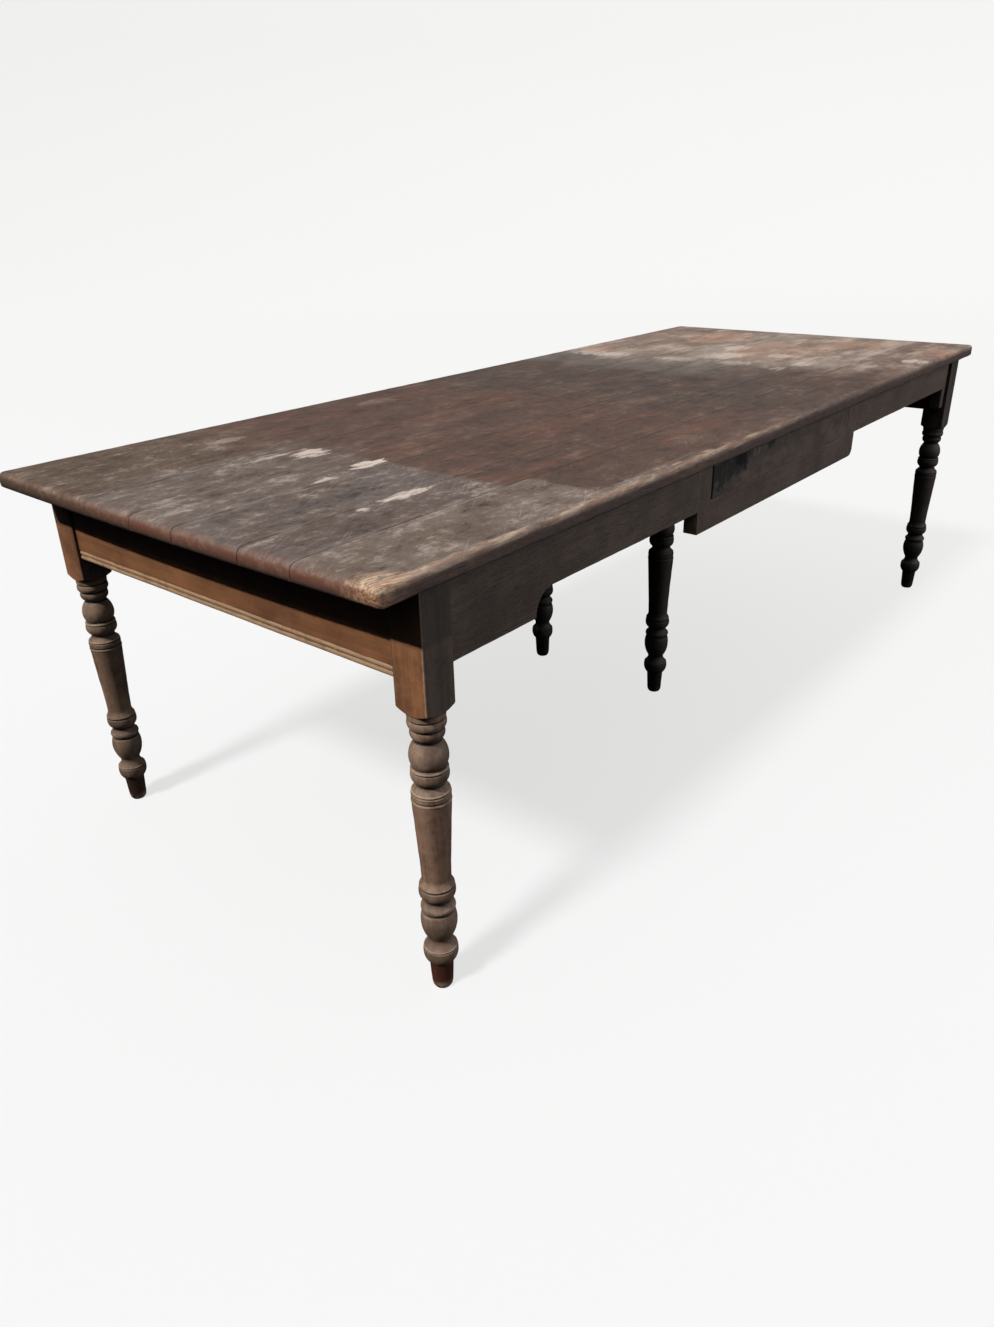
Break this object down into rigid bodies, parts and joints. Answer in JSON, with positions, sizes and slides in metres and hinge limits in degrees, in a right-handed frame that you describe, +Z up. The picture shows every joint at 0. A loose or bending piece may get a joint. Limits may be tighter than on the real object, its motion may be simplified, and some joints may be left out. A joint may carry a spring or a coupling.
{
  "type": "refectory table",
  "caption": "Long farmhouse refectory table: worn plank top on turned legs with an inset middle pair, beaded end rails, a bracketed front apron and a flush drawer in one long side.",
  "frame": {"origin": "on the floor, under the middle of the top", "axes": "+X along the table from the near end in the picture to the far end, +Y from the drawer side to the back, +Z up"},
  "size_m": [2.56, 1.036, 0.775],
  "materials": {
    "top_wood": "old dark brown stain, worn grey and bare in patches",
    "leg_wood": "dull brown stain, dusty in the hollows",
    "apron_wood": "dark brown stain, satin where rubbed",
    "inner_wood": "unfinished, dirty",
    "drawer_wood": "unfinished, aged"
  },
  "bodies": {
    "frame": {"top_plank_1": "top_wood", "top_plank_2": "top_wood", "top_plank_3": "top_wood", "top_plank_4": "top_wood", "top_plank_5": "top_wood", "top_plank_6": "top_wood", "leg_near_front": "leg_wood", "leg_near_back": "leg_wood", "leg_far_front": "leg_wood", "leg_far_back": "leg_wood", "leg_middle_front": "leg_wood", "leg_middle_back": "leg_wood", "front_apron_near": "apron_wood", "front_apron_far": "apron_wood", "back_apron": "apron_wood", "end_rail_near": "apron_wood", "end_rail_far": "apron_wood", "drawer_stile_near": "apron_wood", "drawer_stile_far": "apron_wood", "lower_drawer_rail": "apron_wood", "drawer_cross_rail_near": "inner_wood", "drawer_cross_rail_far": "inner_wood", "drawer_runner_near": "inner_wood", "drawer_runner_far": "inner_wood", "middle_bearer": "inner_wood", "drawer_stops": "inner_wood", "top_batten_near": "inner_wood", "top_batten_far": "inner_wood", "top_buttons": "inner_wood"},
    "drawer": {"drawer_front": "apron_wood", "drawer_side_near": "drawer_wood", "drawer_side_far": "drawer_wood", "drawer_back": "drawer_wood", "drawer_bottom": "drawer_wood"}
  },
  "joints": [
    {"name": "drawer_slide", "type": "slide", "parent": "frame", "child": "drawer", "axis": [0, -1, 0], "range_m": [0, 0.36]}
  ]
}
